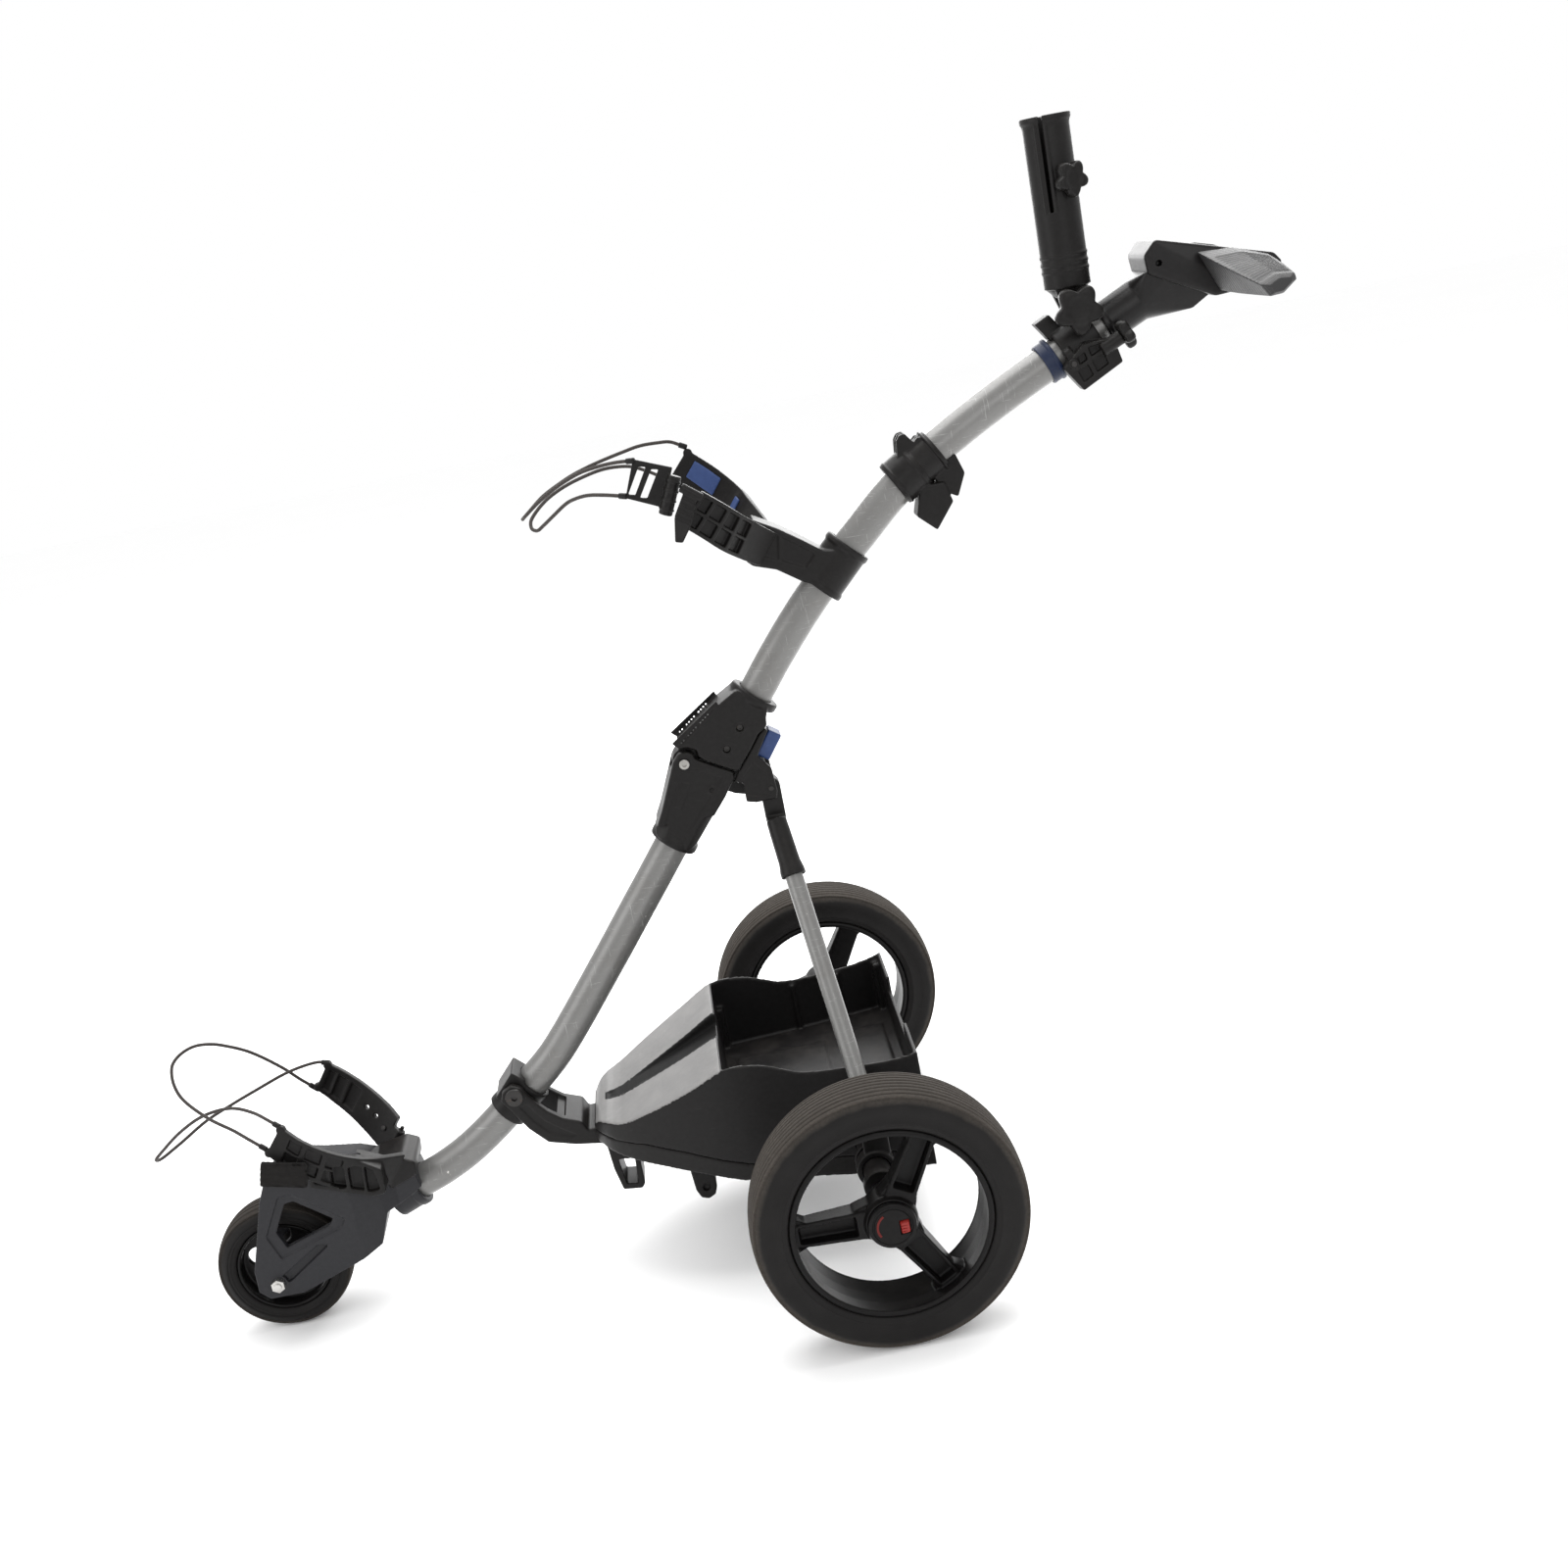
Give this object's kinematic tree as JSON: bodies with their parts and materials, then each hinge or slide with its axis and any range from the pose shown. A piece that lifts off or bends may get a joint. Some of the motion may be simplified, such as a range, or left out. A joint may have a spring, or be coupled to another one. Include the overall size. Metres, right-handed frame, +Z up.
{
  "type": "electric golf trolley",
  "caption": "Folding three-wheeled electric golf trolley with battery tray, hinged shaft, bag cradles with elastic loops, umbrella holder and T-handle",
  "frame": {"origin": "middle of the bounding box in X and Y, on the floor under the wheels, measured without the elastic cords", "axes": "+Z up, +X rearward toward the handle, +Y to the side without the strut, so X-Z is the middle plane of the shaft and wheels"},
  "size_m": [1.2874, 0.613, 1.073],
  "materials": {
    "tube_paint": "satin grey paint, chipped in places",
    "black_plastic": "moulded, fine grain",
    "tray_plastic": "moulded, fine grain, dusty",
    "tyre": "worn tread, dusty",
    "rim_plastic": "moulded, slight sheen",
    "steel": "plain machined",
    "blue_plastic": "moulded, satin",
    "red_plastic": "moulded, semi-gloss",
    "cord": "braided sleeve over elastic",
    "grip_rubber": "ribbed soft grip"
  },
  "bodies": {
    "spine": {"lower_tube": "tube_paint", "hinge_lower_housing": "black_plastic", "hinge_pin": "steel", "front_fork": "black_plastic", "front_axle_bolt": "steel", "front_collar": "black_plastic", "pivot_bolt": "steel", "lower_cradle_base": "black_plastic", "lower_arm_far": "black_plastic", "lower_cord_a": "cord", "lower_cord_b": "cord"},
    "front_wheel": {"front_tyre": "tyre", "front_rim": "rim_plastic"},
    "lower_lever": {"lower_cam_lever": "black_plastic"},
    "chassis": {"yoke": "black_plastic", "battery_tray": "tray_plastic", "chassis_pan": "black_plastic", "foot_loop": "black_plastic", "foot_tab": "black_plastic", "drive_unit": "steel", "axle_tube_left": "black_plastic", "axle_tube_right": "black_plastic"},
    "wheel_left": {"axle_shaft_left": "steel", "tyre_left": "tyre", "rim_left": "rim_plastic", "hub_cap_left": "rim_plastic"},
    "wheel_right": {"axle_shaft_right": "steel", "tyre_right": "tyre", "rim_right": "rim_plastic", "hub_cap_right": "rim_plastic"},
    "release_left": {"release_tab_left": "red_plastic"},
    "release_right": {"release_tab_right": "red_plastic"},
    "strut": {"strut_tube": "tube_paint", "strut_sleeve": "black_plastic", "strut_foot": "black_plastic"},
    "upper_shaft": {"upper_tube": "tube_paint", "hinge_upper_housing": "black_plastic", "latch_block": "black_plastic", "upper_cradle_bracket": "black_plastic", "upper_arm_near": "black_plastic", "upper_arm_far": "black_plastic", "upper_ladder": "black_plastic", "accessory_clamp": "black_plastic", "shaft_collar_blue": "blue_plastic", "umbrella_clamp": "black_plastic", "handle_neck": "black_plastic", "handle_head": "black_plastic", "grip_left": "grip_rubber", "grip_right": "grip_rubber", "upper_cord_c": "cord", "upper_cord_d": "cord"},
    "latch_release": {"latch_button": "blue_plastic"},
    "upper_lever": {"upper_cam_lever": "black_plastic"},
    "umbrella": {"umbrella_holder": "black_plastic"},
    "tube_knob": {"umbrella_tube_knob": "black_plastic"},
    "tilt_knob": {"umbrella_tilt_knob": "black_plastic"},
    "clamp_knob": {"umbrella_clamp_knob": "black_plastic"},
    "dial": {"speed_dial": "black_plastic"}
  },
  "joints": [
    {"name": "front_wheel_spin", "type": "hinge", "parent": "spine", "child": "front_wheel", "pos_m": [-0.5551, 0, 0.0715], "axis": [0, 1, 0], "continuous": true},
    {"name": "lower_lever_open", "type": "hinge", "parent": "spine", "child": "lower_lever", "pos_m": [-0.4874, -0.0805, 0.2], "axis": [0.2, 0, 0.9798], "range_deg": [0, 90]},
    {"name": "chassis_fold", "type": "hinge", "parent": "spine", "child": "chassis", "pos_m": [-0.2714, 0, 0.216], "axis": [0, -1, 0], "range_deg": [0, 24]},
    {"name": "wheel_left_spin", "type": "hinge", "parent": "chassis", "child": "wheel_left", "pos_m": [0.0796, -0.272, 0.1325], "axis": [0, 1, 0], "continuous": true},
    {"name": "wheel_right_spin", "type": "hinge", "parent": "chassis", "child": "wheel_right", "pos_m": [0.0796, 0.272, 0.1325], "axis": [0, 1, 0], "continuous": true},
    {"name": "release_left_pull", "type": "slide", "parent": "wheel_left", "child": "release_left", "axis": [0, -1, 0], "range_m": [0, 0.003], "stiffness_N_per_m": 200, "springref_m": -0.0015},
    {"name": "release_right_pull", "type": "slide", "parent": "wheel_right", "child": "release_right", "axis": [0, 1, 0], "range_m": [0, 0.003], "stiffness_N_per_m": 200, "springref_m": -0.0015},
    {"name": "strut_swing", "type": "hinge", "parent": "chassis", "child": "strut", "pos_m": [0.0796, -0.1845, 0.1325], "axis": [0, -1, 0], "range_deg": [-14, 0]},
    {"name": "main_fold", "type": "hinge", "parent": "spine", "child": "upper_shaft", "pos_m": [-0.0264, 0, 0.53], "axis": [0, -1, 0], "range_deg": [0, 105]},
    {"name": "latch_press", "type": "slide", "parent": "upper_shaft", "child": "latch_release", "axis": [-0.8, 0, 0.6], "range_m": [0, 0.005], "stiffness_N_per_m": 300, "springref_m": -0.002},
    {"name": "upper_lever_open", "type": "hinge", "parent": "upper_shaft", "child": "upper_lever", "pos_m": [0.0331, -0.1, 0.805], "axis": [-0.7764, 0, 0.6302], "range_deg": [0, 100]},
    {"name": "umbrella_tilt", "type": "hinge", "parent": "upper_shaft", "child": "umbrella", "pos_m": [0.4296, 0, 0.894], "axis": [0, 1, 0], "range_deg": [-20, 20]},
    {"name": "tube_knob_turn", "type": "hinge", "parent": "umbrella", "child": "tube_knob", "pos_m": [0.43841, -0.02275, 1.013], "axis": [0.361, -0.9326, 0], "continuous": true},
    {"name": "tilt_knob_turn", "type": "hinge", "parent": "upper_shaft", "child": "tilt_knob", "pos_m": [0.4296, -0.033, 0.894], "axis": [0, 1, 0], "continuous": true},
    {"name": "clamp_knob_turn", "type": "hinge", "parent": "upper_shaft", "child": "clamp_knob", "pos_m": [0.46616, -0.0365, 0.86189], "axis": [0.9179, 0, 0.3969], "continuous": true},
    {"name": "speed_dial_turn", "type": "hinge", "parent": "upper_shaft", "child": "dial", "pos_m": [0.5656, 0, 0.9277], "axis": [0.2793, 0, 0.9602], "range_deg": [0, 270]}
  ],
  "couplings": [
    {"joint": "chassis_fold", "follows": "main_fold", "ratio": 0.22572},
    {"joint": "strut_swing", "follows": "main_fold", "ratio": -0.13168}
  ]
}
